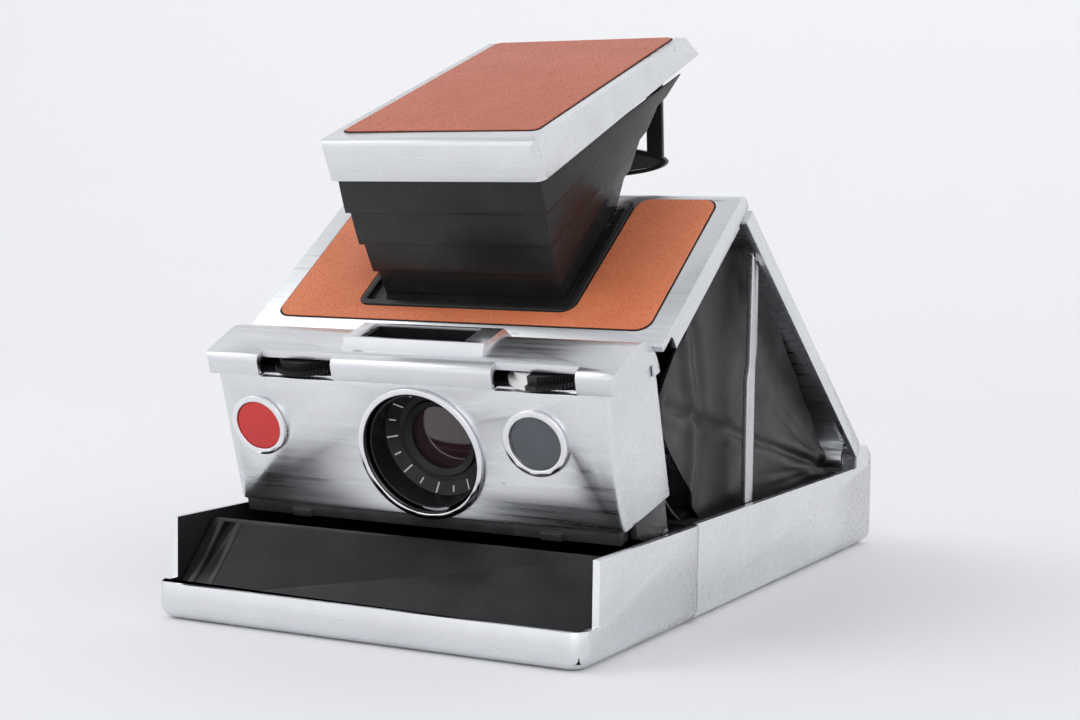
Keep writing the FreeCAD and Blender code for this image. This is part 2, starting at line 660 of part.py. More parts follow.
def foot_rail():
    """Black bar under the housing's face."""
    rail = box(-46.3, 46.3, 0.5, 4.2, -3.2, 0)
    lugs = [box(x, x + 5, -0.2, 0.6, -3.2, -1.4) for x in (-34, 28)]
    return in_housing([join([rail] + lugs)])


def foot_brackets():
    """Hinge plates under the housing, one on each side, on the pins at D."""
    y, z = D_LOCAL
    outline = [(4.3, 0), (4.3, -3.2), (y - 2.2, z - 1.6)] + arc_points((y, z), 2.4, 235, 375, 8)
    outline += [(HOUSE_D, -1.2), (HOUSE_D - 0.6, 0)]
    plates = [prism(outline, 46.8, 48.2), prism(outline, -48.2, -46.8)]
    return in_housing([p.cut(rod(y, z, 0.95 + RUN, -60, 60)) for p in plates])


def front_rings():
    """Chrome rims of the lens, the light sensor and the button."""
    lens = ring(*LENS, LENS_R, LENS_R - 1.3, -PROUD, 0).fuse(ring(*LENS, LENS_R - 0.85, LENS_R - 1.3, -0.1, 2.2))
    cell = ring(*CELL, CELL_R, CELL_R - 1.4, -PROUD, 0).fuse(ring(*CELL, CELL_R - 1.05, CELL_R - 1.4, -0.1, 1.6))
    knob = ring(*BUTTON, BUTTON_R, BUTTON_R - 1.3, -PROUD, 0)
    knob = knob.fuse(ring(*BUTTON, BUTTON_R - 1.05, BUTTON_R - 1.3, -0.1, 3.2))
    return [in_housing([s.removeSplitter()]) for s in (lens, cell, knob)]


def sensor_window():
    return in_housing([plug(*CELL, CELL_R - 1.45, 0.2, 1.4)])


def shutter_button():
    """Button disc with a stem that runs in the guide."""
    face = plug(*BUTTON, BUTTON_R - 1.45, -0.5, 2.2)
    return in_housing([face.fuse(plug(*BUTTON, 1.2, 2.2, 8.0))])


def knurled(x, r, z0, z1, plain):
    """A disc on a wheel's axle with fine teeth, but none between the two angles of plain."""
    teeth = 72
    ring = []
    for k in range(2 * teeth):
        turn = 180.0 * k / teeth
        smooth = plain[0] <= turn <= plain[1]
        a, reach = math.radians(turn), r if k % 2 or smooth else r - 0.4
        ring.append(Vector(x + reach * math.cos(a), WHEEL_D + reach * math.sin(a), z0))
    face = Part.Face(Part.makePolygon(ring + ring[:1]))
    return face.extrude(Vector(0, 0, z1 - z0))


def wheel(x, plain=(0, -1)):
    """Thumb wheel with two knurled steps, on a post along the housing's height."""
    z = HOUSE_H
    steps = [knurled(x, WHEEL_R, z + 0.3, z + 1.3, plain), knurled(x, WHEEL_R - 1.3, z + 1.2, z + 2.9, plain)]
    bore = Part.makeCylinder(1.5 + RUN, 4, Vector(x, WHEEL_D, z - 0.3))
    return in_housing([join(steps).cut(bore)])


def lens_barrel():
    """Black focusing cup round the front glass; its marks are printed on the sloping ring."""
    outline = [(13.1, 1.0), (13.1, 8.4), (10.6, 10.6), (7.2, 10.6), (7.2, 8.6), (8.6, 8.0), (9.0, 8.6), (10.2, 8.4)]
    outline += [(12.7, 6.8), (12.7, 1.0)]
    points = [Vector(LENS[0] + r, d, LENS[1]) for r, d in outline]
    face = Part.Face(Part.makePolygon(points + points[:1]))
    return in_housing([face.revolve(Vector(LENS[0], 0, LENS[1]), Vector(0, 1, 0), 360)])


def lens_glass(d0, r, bulge):
    """A lens element, domed towards the front."""
    radius = (r * r + bulge * bulge) / (2 * bulge)
    dome = Part.makeSphere(radius, Vector(LENS[0], d0 - bulge + radius, LENS[1]))
    return dome.common(plug(*LENS, r, d0 - bulge - 1, d0 + 1.6))


def front_glass():
    return in_housing([lens_glass(9.6, 7.18, 0.9)])


def rear_glass():
    return in_housing([lens_glass(16.0, 7.0, 0.9)])


def shutter_block():
    """Body that carries the blades, the light stop and the rear glass."""
    plate = box(LENS[0] - 27, LENS[0] + 27, 14.4, 15.4, 3.0, 26.0).cut(plug(*LENS, 7.8, 10, 20))
    barrel = ring(*LENS, 8.6, 7.02, 15.3, 18.2)
    feet = [box(LENS[0] + x, LENS[0] + x + 2, 14.4, HOUSE_D - 1.2, 3.0, 26.0) for x in (-27, 25)]
    body = join([plate, barrel] + feet)
    return in_housing([body.cut(plug(*LENS, 7.02, 15.2, 19)).removeSplitter()])


def shutter_blades():
    """Two blades that cross in front of the rear glass; both stand open at rest."""
    blades = []
    for side, d in ((-1, 12.2), (1, 13.3)):
        plate = box(LENS[0] - 11, LENS[0] + 11, d, d + 0.4, 5.0, 24.0)
        tail = box(LENS[0] + min(0, side * 24), LENS[0] + max(0, side * 24), d, d + 0.4, 5.0, 10.0)
        blades.append(in_housing([plate.fuse(tail).cut(plug(*LENS, 8.0, 10, 16)).removeSplitter()]))
    return blades


# ---------------------------------------------------------------- inside the body
def bellows():
    """Rubber bellows: two creased sides and a front sheet, from the covers to the base."""
    apex = (APEX[0] + 0.6, APEX[1] - 7.2)
    front_low = turned((-C_ALONG + 6.5, -4.2), FRONT_ANGLE, B)
    back_top = turned((HOUSE_D + 1.9, 22.5), HOUSE_TILT, HOUSE_FOOT)
    back_low = turned((HOUSE_D + 1.9, 1.0), HOUSE_TILT, HOUSE_FOOT)
    rear_low = (A[0] - 9.0, PIVOT_Z + 0.6)
    foot = SEAM_Y + 2.6
    outline = [apex, front_low, back_top, back_low, (foot, 21.0), (foot, 20.4), (72.0, 20.4), rear_low]
    outer = prism(outline, -46.9, 46.9)
    wall = 0.8
    hollow = [(apex[0], apex[1] + 20), (front_low[0] + wall, front_low[1] + 10), (back_top[0] + wall, back_top[1]),
              (back_low[0] + wall, back_low[1]), (foot + wall, 21.0), (foot + wall, 0), (90.0, 0),
              (90.0, PIVOT_Z + 20)]
    body = outer.cut(prism(hollow, -46.9 + wall, 46.9 - wall))
    lens = turned((HOUSE_D, LENS[1]), HOUSE_TILT, HOUSE_FOOT)
    tunnel = Part.makeCylinder(10.5, 30, Vector(LENS[0], lens[0] - 5, lens[1] - 1.5),
                               Vector(0, math.cos(math.radians(HOUSE_TILT)), math.sin(math.radians(HOUSE_TILT))))
    return [body.cut(tunnel).removeSplitter()]


def fresnel_carrier():
    """Hinged plate over the film gate that carries the viewing mirror."""
    return [box(-43.0, 43.0, -22.0, 68.0, CHAMBER_TOP + 1.7, CHAMBER_TOP + 3.0)]


def fresnel_mirror():
    return [box(-40.0, 40.0, -19.0, 65.0, CHAMBER_TOP + 3.0, CHAMBER_TOP + 3.8)]


# ---------------------------------------------------------------- finder
FINDER_W = 25.0          # half width of the largest frame
FINDER_T = 0.6
FINDER_STEP = 0.8        # each lower frame is smaller by this
FINDER_OVERLAP = 0.35    # degrees that each frame reaches into the one above
FRONT_RADII = 102.8      # front wall of the largest frame, from the finder's turning axis
REAR_RADII = (29.0, 40.5, 51.5, 62.0)
SECTOR = (200.8, 204.9, 209.5, 213.8, 217.9)     # angles about that axis, cap to cover


def finder_axis():
    """The line about which the cap turns from raised to down."""
    y, z = turned((-CAP_DOWN[0], CAP_DOWN[1]), FRONT_ANGLE, B)
    mid = ((y + CAP_FOOT[0]) / 2, (z + CAP_FOOT[1]) / 2)
    dy, dz = y - CAP_FOOT[0], z - CAP_FOOT[1]
    reach = 0.5 / math.tan(math.radians(CAP_FOLD / 2))
    return (mid[0] - dz * reach, mid[1] + dy * reach)


V = finder_axis()


def polar(r, a):
    return (V[0] + r * math.cos(math.radians(a)), V[1] + r * math.sin(math.radians(a)))


def finder_outline(k, grow, a0, a1):
    """Side outline of frame k's outside, between two angles about the finder's axis."""
    front = FRONT_RADII - k * FINDER_STEP + grow
    return arc_points(V, front, a0, a1, 6) + [polar(5.0, a1), polar(5.0, a0)]


def finder_frame(k):
    """One nested frame: a curved front wall and two sides, open at the back."""
    a0, a1 = SECTOR[k] - FINDER_OVERLAP, SECTOR[k + 1]
    front = FRONT_RADII - k * FINDER_STEP
    width = FINDER_W - k * FINDER_STEP
    rear = REAR_RADII[k]
    outer = arc_points(V, front, a0, a1, 6) + [polar(rear + 6.5, a1), polar(rear - 4.0, a0)]
    inner = finder_outline(k, -FINDER_T, a0 - 2, a1 + 2)
    body = prism(outer, -width, width).cut(prism(inner, -width + FINDER_T, width - FINDER_T))
    return [body.removeSplitter()]


def cap_shell():
    top = CAP_H
    outline = [(0, 0), (-1.0, top - 1.6), (-0.5, top - 0.5), (0.7, top), (CAP_L - 1.2, top), (CAP_L, top - 0.5),
               (88.0, 3.3), (74.5, 2.8)]
    body = prism(outline, -CAP_W, CAP_W)
    corners = edges_where(body, lambda e: min(v.Point.y for v in e.Vertexes) < -0.4 and not along(e, X_AXIS)
                          and max(v.Point.z for v in e.Vertexes) < top - 1.5)
    body = body.makeFillet(2.0, corners)
    t = CAP_T
    inside = [(t, -1), (t, top - t), (CAP_L - 1.5, top - t), (86.5, 2.0), (86.5, -1)]
    body = body.cut(prism(inside, -CAP_W + t, CAP_W - t))
    body = body.cut(rod(*EYE_HINGE, 0.7 + RUN, -CAP_W + 0.5, CAP_W - 0.5))
    return in_cap([body.removeSplitter()])


def cap_leather():
    skin = rounded_plate(box(-24.3, 24.3, 5.0, CAP_L - 1.5, CAP_H, CAP_H + LEATHER_T), 2.0)
    return in_cap([skin])


EYE_HINGE = (77.0, 5.4)      # eyepiece hinge in the cap's frame
EYE_ANGLE = -104.7           # the eyepiece hangs at this angle in the cap's frame
EYE_L = 24.6                 # hinge to the middle of the oval rim
EYE_RIM = (22.5, 3.9)        # half width and half height of that rim
EYE_W = 21.5                 # half width of its two arms


def hang(shapes):
    """From flat along +Y to hanging from the cap's hinge."""
    turned_shapes = placed(shapes, EYE_ANGLE, EYE_HINGE)
    return in_cap(turned_shapes)


def oval(rx, ry, y, t):
    """An oval plate of half thickness t, lying flat."""
    edge = Part.Ellipse(Vector(0, y, -t), rx, ry).toShape()
    return Part.Face(Part.Wire([edge])).extrude(Vector(0, 0, 2 * t))


def eyepiece_frame():
    """Oval rim on two arms, swung from stub pins inside the cap."""
    rx, ry = EYE_RIM
    barrel = rod(0, 0, 1.4, -EYE_W - 1, EYE_W + 1).fuse(rod(0, 0, 0.7, -CAP_W + 0.7, CAP_W - 0.7))
    plate = box(-EYE_W, EYE_W, 0, EYE_L, -0.6, 0.6).cut(box(-EYE_W + 4, EYE_W - 4, 4, EYE_L, -2, 2))
    body = join([barrel, plate, oval(rx, ry, EYE_L, 1.0)])
    return hang([body.cut(oval(rx - 1.4, ry - 1.2, EYE_L, 2)).removeSplitter()])


def eyepiece_lens():
    rx, ry = EYE_RIM
    return hang([oval(rx - 1.4 - RUN, ry - 1.2 - RUN, EYE_L, 0.5)])


# ---------------------------------------------------------------- write every node
def main():
    rear_pins, front_pins = hinge_pins()
    lens_ring, sensor_ring, button_ring = front_rings()
    blades = shutter_blades()
    nodes = {
        "base_shell": base_shell(), "counter_window": base_window(), "chassis": chassis(),
        "rear_hinge_pins": rear_pins, "housing_hinge_pins": front_pins, "film_spring": film_spring(),
        "battery_contacts": contacts(), "motor": motor(), "motor_pinion": motor_pinion(),
        "drive_gear": drive_gear(), "gear_shaft": gear_shaft(), "counter_dial": counter_dial(),
        "bellows": bellows(), "fresnel_carrier": fresnel_carrier(),
        "fresnel_mirror": fresnel_mirror(), "film_door_shell": film_door_shell(), "door_hinge_pin": door_pin(),
        "roller_cheeks": roller_cheeks(), "lower_roller": roller(LOWER_ROLLER), "upper_roller": roller(UPPER_ROLLER),
        "deck_flap": deck_flap(), "deck_pin": deck_pin(), "door_latch": door_latch(),
        "rear_cover": rear_cover_shell(), "rear_leather": rear_leather(), "main_mirror": main_mirror(),
        "front_cover": front_cover_shell(), "front_leather": front_leather(), "finder_surround": finder_surround(),
        "side_braces": side_braces(), "brace_pins": brace_pins(), "brace_springs": brace_springs(),
        "housing_shell": housing_shell(), "housing_back": housing_back(), "top_cover": top_cover(),
        "flash_socket": flash_socket(), "flash_contacts": flash_contacts(), "foot_rail": foot_rail(),
        "foot_brackets": foot_brackets(), "lens_ring": lens_ring, "sensor_ring": sensor_ring,
        "button_ring": button_ring, "sensor_window": sensor_window(), "shutter_button": shutter_button(),
        "focus_wheel": wheel(FOCUS_X), "exposure_wheel": wheel(EXPOSURE_X, (160, 270)),
        "lens_barrel": lens_barrel(), "front_glass": front_glass(),
        "rear_glass": rear_glass(), "shutter_block": shutter_block(), "blade_left": blades[0],
        "blade_right": blades[1], "cap_shell": cap_shell(), "cap_leather": cap_leather(),
        "eyepiece_frame": eyepiece_frame(), "eyepiece_lens": eyepiece_lens(),
    }
    for k in range(FINDER_N):
        nodes["finder_frame_%d" % (k + 1)] = finder_frame(k)
    for node, shapes in nodes.items():
        write(node, shapes)
    print(len(nodes), "nodes")
    for name, point in (("A", A), ("B", B), ("C", C), ("D", D), ("V", V)):
        print(name, round(point[0], 4), round(point[1], 4))


main()
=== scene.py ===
# %% [markdown]
# # A folding instant camera
# The frame of the camera comes from a CAD model: every shell, pin and wheel is already in its place.
# Here the pieces get their finishes, and the soft and finely cut ones are modelled again in more detail.
# Everything is in metres. +X is the right side seen from the front, -Y is the front and +Z is up.

# %% Load the frame
import bpy
import json
import math
from mathutils import Matrix, Vector


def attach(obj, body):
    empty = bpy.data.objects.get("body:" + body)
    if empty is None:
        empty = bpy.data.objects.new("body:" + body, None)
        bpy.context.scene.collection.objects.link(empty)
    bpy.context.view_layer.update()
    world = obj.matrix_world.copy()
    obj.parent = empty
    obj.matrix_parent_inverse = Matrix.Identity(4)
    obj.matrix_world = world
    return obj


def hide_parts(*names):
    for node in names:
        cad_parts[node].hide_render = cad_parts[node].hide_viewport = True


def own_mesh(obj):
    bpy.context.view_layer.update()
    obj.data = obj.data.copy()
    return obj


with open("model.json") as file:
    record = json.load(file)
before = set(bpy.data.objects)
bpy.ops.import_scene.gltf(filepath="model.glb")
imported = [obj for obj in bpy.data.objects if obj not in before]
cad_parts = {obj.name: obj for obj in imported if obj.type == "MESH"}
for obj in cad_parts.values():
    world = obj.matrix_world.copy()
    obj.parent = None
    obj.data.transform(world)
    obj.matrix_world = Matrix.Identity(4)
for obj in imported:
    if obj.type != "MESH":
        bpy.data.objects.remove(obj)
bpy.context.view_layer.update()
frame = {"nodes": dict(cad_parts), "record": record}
nodes = frame["nodes"]
MM = 0.001
print(len(nodes), "pieces loaded")

# %% [markdown]
# The folding parts lie at angles to the world, so it pays to know their own frames. Each is a turn about X
# and a place in Y and Z. A piece is modelled flat in such a frame and then turned into its place.

# %% Local frames of the folding parts
LOCAL = {
    "world": (0.0, (0.0, 0.0)),
    "housing": (math.radians(17.6), (-62.2 * MM, 23.0 * MM)),
    "front": (math.radians(36.0), (-10.0 * MM, 89.0 * MM)),
    "rear": (math.radians(-36.2), (79.7677 * MM, 23.3 * MM)),
    "cap": (math.radians(19.7), (-59.6 * MM, 94.1 * MM)),
}


def local_matrix(where):
    turn, (y, z) = LOCAL[where]
    return Matrix.Translation((0, y, z)) @ Matrix.Rotation(turn, 4, "X")


for where in LOCAL:
    print(where, [round(v, 4) for v in local_matrix(where).translation])

# %% [markdown]
# Operators act on whatever is selected, so a small helper selects one object only. Another one settles a
# finished piece: it turns the piece into its place, bakes that into the mesh and hangs it on its body.

# %% Helpers for selecting and settling
def only(obj):
    if bpy.context.object and bpy.context.object.mode != "OBJECT":
        bpy.ops.object.mode_set(mode="OBJECT")
    bpy.ops.object.select_all(action="DESELECT")
    obj.select_set(True)
    bpy.context.view_layer.objects.active = obj
    return obj


def apply_modifier(obj, kind, **settings):
    modifier = obj.modifiers.new(kind.title(), kind)
    for key, value in settings.items():
        setattr(modifier, key, value)
    only(obj)
    bpy.ops.object.modifier_apply(modifier=modifier.name)


def settle(obj, name, where, body, materials, replaced=()):
    obj.matrix_world = local_matrix(where) @ obj.matrix_world
    only(obj)
    bpy.ops.object.transform_apply(location=True, rotation=True, scale=True)
    obj.name = obj.data.name = name
    for material in materials:
        obj.data.materials.append(material)
    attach(obj, body)
    if replaced:
        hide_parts(*replaced)
    return obj


def select_faces(obj, test):
    """Select faces in edit mode by a test of their middle and normal."""
    bpy.ops.object.mode_set(mode="OBJECT")
    for face in obj.data.polygons:
        face.select = bool(test(face.center, face.normal))
    for edge in obj.data.edges:
        edge.select = False
    for vertex in obj.data.vertices:
        vertex.select = False
    bpy.ops.object.mode_set(mode="EDIT")
    bpy.ops.mesh.select_mode(type="FACE")


bpy.ops.object.select_all(action="DESELECT")

# %% [markdown]
# ## Shared effects
# Brushed metal, grain and dust return in several materials, so each is a node group with named inputs.
# A group hands out only masks and heights. The shader that uses them stays in the material.

# %% A helper for node groups
def group_tree(name, inputs, outputs):
    tree = bpy.data.node_groups.new(name, "ShaderNodeTree")
    for label, value in inputs.items():
        socket = tree.interface.new_socket(label, in_out="INPUT", socket_type="NodeSocketFloat")
        socket.default_value = value
    for label in outputs:
        tree.interface.new_socket(label, in_out="OUTPUT", socket_type="NodeSocketFloat")
    return tree, tree.nodes.new("NodeGroupInput"), tree.nodes.new("NodeGroupOutput")


def math_node(tree, operation, a, b=None, c=None):
    node = tree.nodes.new("ShaderNodeMath")
    node.operation = operation
    for socket, value in zip(node.inputs, (a, b, c)):
        if value is None:
            continue
        if isinstance(value, (int, float)):
            socket.default_value = value
        else:
            tree.links.new(value, socket)
    return node.outputs[0]


def noise_node(tree, vector, scale, detail=3.0, rough=0.55):
    node = tree.nodes.new("ShaderNodeTexNoise")
    tree.links.new(vector, node.inputs["Vector"])
    if isinstance(scale, (int, float)):
        node.inputs["Scale"].default_value = scale
    else:
        tree.links.new(scale, node.inputs["Scale"])
    node.inputs["Detail"].default_value = detail
    node.inputs["Roughness"].default_value = rough
    return node.outputs["Fac"]


def object_coords(tree, stretch=(1, 1, 1), turn=(0, 0, 0), place=(0, 0, 0)):
    coords = tree.nodes.new("ShaderNodeTexCoord")
    mapping = tree.nodes.new("ShaderNodeMapping")
    mapping.inputs["Location"].default_value = place
    mapping.inputs["Rotation"].default_value = turn
    mapping.inputs["Scale"].default_value = stretch
    tree.links.new(coords.outputs["Object"], mapping.inputs["Vector"])
    return mapping.outputs["Vector"]


# %% [markdown]
# The shells are plated plastic brushed along the camera's width. Long thin noise gives the brush lines, a
# broad noise gives the cloudy wear of hands, and a few sharp cells cut short scratches.

# %% Brushed metal group
def build_brushed():
    settings = {"Line Scale": 900.0, "Wear": 0.5}
    tree, inputs, outputs = group_tree("brushed_metal", settings, ["Lines", "Clouds", "Scuffs"])
    along = object_coords(tree, (0.02, 1.0, 1.0))
    lines = noise_node(tree, along, inputs.outputs["Line Scale"], 2.0)
    plain = object_coords(tree)
    clouds = noise_node(tree, plain, 45.0, 5.0, 0.65)
    streak = object_coords(tree, (0.22, 1.0, 0.7), (0.0, 0.5, 0.35))
    scratch = noise_node(tree, streak, 420.0, 1.0)
    thin = math_node(tree, "GREATER_THAN", scratch, 0.74)
    where = math_node(tree, "GREATER_THAN", noise_node(tree, plain, 90.0, 2.0), 0.56)
    scuffs = math_node(tree, "MULTIPLY", math_node(tree, "MULTIPLY", thin, where), inputs.outputs["Wear"])
    tree.links.new(lines, outputs.inputs["Lines"])
    tree.links.new(clouds, outputs.inputs["Clouds"])
    tree.links.new(scuffs, outputs.inputs["Scuffs"])
    return tree


BRUSHED = build_brushed()

# %% [markdown]
# Leather grain is a net of small rounded cells. A Voronoi texture's distance to the edge gives the creases
# between the cells, and two noises give pores and the uneven dye.

# %% Leather grain group
def build_grain():
    tree, inputs, outputs = group_tree("leather_grain", {"Cell Scale": 1500.0}, ["Height", "Crease", "Dye"])
    plain = object_coords(tree)
    warp = tree.nodes.new("ShaderNodeTexNoise")
    tree.links.new(plain, warp.inputs["Vector"])
    warp.inputs["Scale"].default_value = 700.0
    mix = tree.nodes.new("ShaderNodeVectorMath")
    mix.operation = "MULTIPLY_ADD"
    tree.links.new(warp.outputs["Color"], mix.inputs[0])
    mix.inputs[1].default_value = (0.0008, 0.0008, 0.0008)
    tree.links.new(plain, mix.inputs[2])
    cells = tree.nodes.new("ShaderNodeTexVoronoi")
    cells.feature = "DISTANCE_TO_EDGE"
    tree.links.new(mix.outputs[0], cells.inputs["Vector"])
    tree.links.new(inputs.outputs["Cell Scale"], cells.inputs["Scale"])
    crease = math_node(tree, "MINIMUM", math_node(tree, "MULTIPLY", cells.outputs["Distance"], 5.0), 1.0)
    pores = noise_node(tree, plain, 3200.0, 2.0)
    height = math_node(tree, "MULTIPLY_ADD", pores, 0.35, crease)
    dye = noise_node(tree, plain, 55.0, 6.0, 0.7)
    tree.links.new(height, outputs.inputs["Height"])
    tree.links.new(crease, outputs.inputs["Crease"])
    tree.links.new(dye, outputs.inputs["Dye"])
    return tree


GRAIN = build_grain()

# %% [markdown]
# Black parts are never plain black: they carry a faint moulded texture, rubbed patches and specks of dust.

# %% Moulded black group
def build_moulded():
    tree, inputs, outputs = group_tree("moulded_black", {"Dust": 0.5}, ["Texture", "Rub", "Dust"])
    plain = object_coords(tree)
    texture = noise_node(tree, plain, 2600.0, 2.0)
    rub = noise_node(tree, plain, 70.0, 5.0, 0.65)
    specks = tree.nodes.new("ShaderNodeTexVoronoi")
    tree.links.new(plain, specks.inputs["Vector"])
    specks.inputs["Scale"].default_value = 420.0
    near = math_node(tree, "LESS_THAN", specks.outputs["Distance"], 0.06)
    patch = math_node(tree, "GREATER_THAN", noise_node(tree, plain, 130.0, 2.0), 0.6)
    dust = math_node(tree, "MULTIPLY", math_node(tree, "MULTIPLY", near, patch), inputs.outputs["Dust"])
    tree.links.new(texture, outputs.inputs["Texture"])
    tree.links.new(rub, outputs.inputs["Rub"])
    tree.links.new(dust, outputs.inputs["Dust"])
    return tree


MOULDED = build_moulded()
print("groups", [g.name for g in bpy.data.node_groups])

# %% [markdown]
# ## Materials
# Each material starts from one helper that makes the shader and can mix two colours by a mask. Roughness and
# bump follow the same masks, so a rubbed place is both lighter and smoother.

# %% Material helpers
def start_material(name, metallic=0.0, roughness=0.5, coat=0.0, coat_roughness=0.1):
    material = bpy.data.materials.new(name)
    material.use_nodes = True
    shader = material.node_tree.nodes["Principled BSDF"]
    shader.inputs["Metallic"].default_value = metallic
    shader.inputs["Roughness"].default_value = roughness
    shader.inputs["Coat Weight"].default_value = coat
    shader.inputs["Coat Roughness"].default_value = coat_roughness
    return material, material.node_tree, shader


def use_group(tree, group, **values):
    node = tree.nodes.new("ShaderNodeGroup")
    node.node_tree = group
    for label, value in values.items():
        node.inputs[label.replace("_", " ")].default_value = value
    return node


def mix_colour(tree, factor, first, second):
    node = tree.nodes.new("ShaderNodeMix")
    node.data_type = "RGBA"
    tree.links.new(factor, node.inputs["Factor"])
    for socket, colour in ((node.inputs["A"], first), (node.inputs["B"], second)):
        if isinstance(colour, tuple):
            socket.default_value = (*colour, 1.0)
        else:
            tree.links.new(colour, socket)
    return node.outputs["Result"]


def ranged(tree, value, low, high, start=0.0, end=1.0):
    node = tree.nodes.new("ShaderNodeMapRange")
    tree.links.new(value, node.inputs["Value"])
    for label, number in (("From Min", start), ("From Max", end), ("To Min", low), ("To Max", high)):
        node.inputs[label].default_value = number
    return node.outputs["Result"]


def add_bump(tree, shader, height, strength, distance):
    bump = tree.nodes.new("ShaderNodeBump")
    bump.inputs["Strength"].default_value = strength
    bump.inputs["Distance"].default_value = distance
    tree.links.new(height, bump.inputs["Height"])
    tree.links.new(bump.outputs["Normal"], shader.inputs["Normal"])


# %% Metals
def metal(name, bright, dark, rough, wear, line_scale=900.0):
    material, tree, shader = start_material(name, metallic=1.0)
    brushed = use_group(tree, BRUSHED, Line_Scale=line_scale, Wear=wear)
    cloudy = ranged(tree, brushed.outputs["Clouds"], 0.0, 1.0, 0.25, 0.8)
    base = mix_colour(tree, cloudy, bright, dark)
    scuffed = mix_colour(tree, brushed.outputs["Scuffs"], base, tuple(0.55 * c for c in dark))
    tree.links.new(scuffed, shader.inputs["Base Color"])
    lines = ranged(tree, brushed.outputs["Lines"], rough - 0.06, rough + 0.09, 0.3, 0.7)
    rough_sum = math_node(tree, "MULTIPLY_ADD", cloudy, 0.05, lines)
    tree.links.new(rough_sum, shader.inputs["Roughness"])
    add_bump(tree, shader, brushed.outputs["Lines"], 0.12, 0.00004)
    return material


SILVER = metal("satin_silver_plate", (0.80, 0.81, 0.83), (0.70, 0.71, 0.735), 0.27, 0.6)
CHROME = metal("polished_chrome", (0.90, 0.90, 0.92), (0.82, 0.82, 0.85), 0.09, 0.15, 500.0)
STEEL = metal("plain_steel", (0.66, 0.66, 0.67), (0.50, 0.50, 0.52), 0.28, 0.9)
BRASS = metal("bare_brass", (0.78, 0.60, 0.30), (0.60, 0.45, 0.22), 0.25, 0.4)


# %% Leather
def leather(name, light, deep, cell_scale):
    material, tree, shader = start_material(name, roughness=0.55)
    grain = use_group(tree, GRAIN, Cell_Scale=cell_scale)
    dye = ranged(tree, grain.outputs["Dye"], 0.0, 1.0, 0.3, 0.72)
    base = mix_colour(tree, dye, light, deep)
    creased = mix_colour(tree, ranged(tree, grain.outputs["Crease"], 0.55, 0.0, 0.0, 0.6), base,
                         tuple(0.55 * c for c in deep))
    tree.links.new(creased, shader.inputs["Base Color"])
    tree.links.new(ranged(tree, grain.outputs["Crease"], 0.72, 0.5), shader.inputs["Roughness"])
    add_bump(tree, shader, grain.outputs["Height"], 0.5, 0.00008)
    return material


TAN = leather("tan_leather", (0.82, 0.25, 0.11), (0.68, 0.175, 0.07), 1500.0)
RUSSET = leather("russet_leather", (0.62, 0.19, 0.115), (0.50, 0.135, 0.075), 1500.0)


# %% Black plastics and rubber
def black(name, tone, rubbed, rough, dust=0.4, coat=0.0):
    material, tree, shader = start_material(name, coat=coat, coat_roughness=0.25)
    shader.inputs["Specular IOR Level"].default_value = 0.32
    moulded = use_group(tree, MOULDED, Dust=dust)
    rub = ranged(tree, moulded.outputs["Rub"], 0.0, 1.0, 0.42, 0.75)
    base = mix_colour(tree, rub, tone, rubbed)
    dusty = mix_colour(tree, moulded.outputs["Dust"], base, (0.16, 0.155, 0.15))
    tree.links.new(dusty, shader.inputs["Base Color"])
    polished = ranged(tree, moulded.outputs["Rub"], rough + 0.08, rough - 0.08, 0.3, 0.7)
    tree.links.new(polished, shader.inputs["Roughness"])
    add_bump(tree, shader, moulded.outputs["Texture"], 0.25, 0.00004)
    return material


BLACK = black("satin_black_plastic", (0.010, 0.010, 0.011), (0.022, 0.022, 0.024), 0.36)
HOOD_BLACK = black("finder_black", (0.012, 0.012, 0.013), (0.022, 0.022, 0.023), 0.30, 0.15)
DECK_BLACK = black("deck_black", (0.012, 0.012, 0.013), (0.026, 0.026, 0.028), 0.33, 0.3)
DULL_BLACK = black("dull_black_lining", (0.008, 0.008, 0.008), (0.014, 0.014, 0.014), 0.7)
RUBBER = black("bellows_rubber", (0.009, 0.009, 0.010), (0.024, 0.024, 0.026), 0.42, 0.35)
IRON = black("blackened_steel", (0.035, 0.036, 0.038), (0.075, 0.076, 0.08), 0.38, 0.5)

# %% Glass, mirror, red button and white scale
def glossy(name, colour, second, rough, coat, scale=60.0, metallic=0.0):
    material, tree, shader = start_material(name, metallic, rough, coat, 0.03)
    clouds = noise_node(tree, object_coords(tree), scale, 3.0)
    cloudy = ranged(tree, clouds, 0, 1, 0.35, 0.65)
    tree.links.new(mix_colour(tree, cloudy, colour, second), shader.inputs["Base Color"])
    tree.links.new(ranged(tree, clouds, rough, rough + 0.06), shader.inputs["Roughness"])
    return material


LENS_GLASS = glossy("coated_lens_glass", (0.050, 0.022, 0.022), (0.030, 0.014, 0.018), 0.06, 1.0)
SENSOR_GLASS = glossy("sensor_glass", (0.050, 0.060, 0.075), (0.030, 0.036, 0.046), 0.08, 1.0)
CLEAR = glossy("window_glass", (0.08, 0.085, 0.09), (0.05, 0.052, 0.055), 0.05, 1.0)
MIRROR = glossy("front_silvered_mirror", (0.88, 0.88, 0.90), (0.84, 0.84, 0.87), 0.03, 0.0, 60.0, 1.0)
RED = glossy("red_button", (0.70, 0.020, 0.016), (0.60, 0.014, 0.012), 0.32, 0.35)
WHITE = glossy("white_marks", (0.82, 0.82, 0.80), (0.76, 0.76, 0.74), 0.4, 0.2)

# %% [markdown]
# The exposure wheel is white on its smooth part and black on its knurled part, the two ends of its setting.
# A step on the X coordinate parts them.

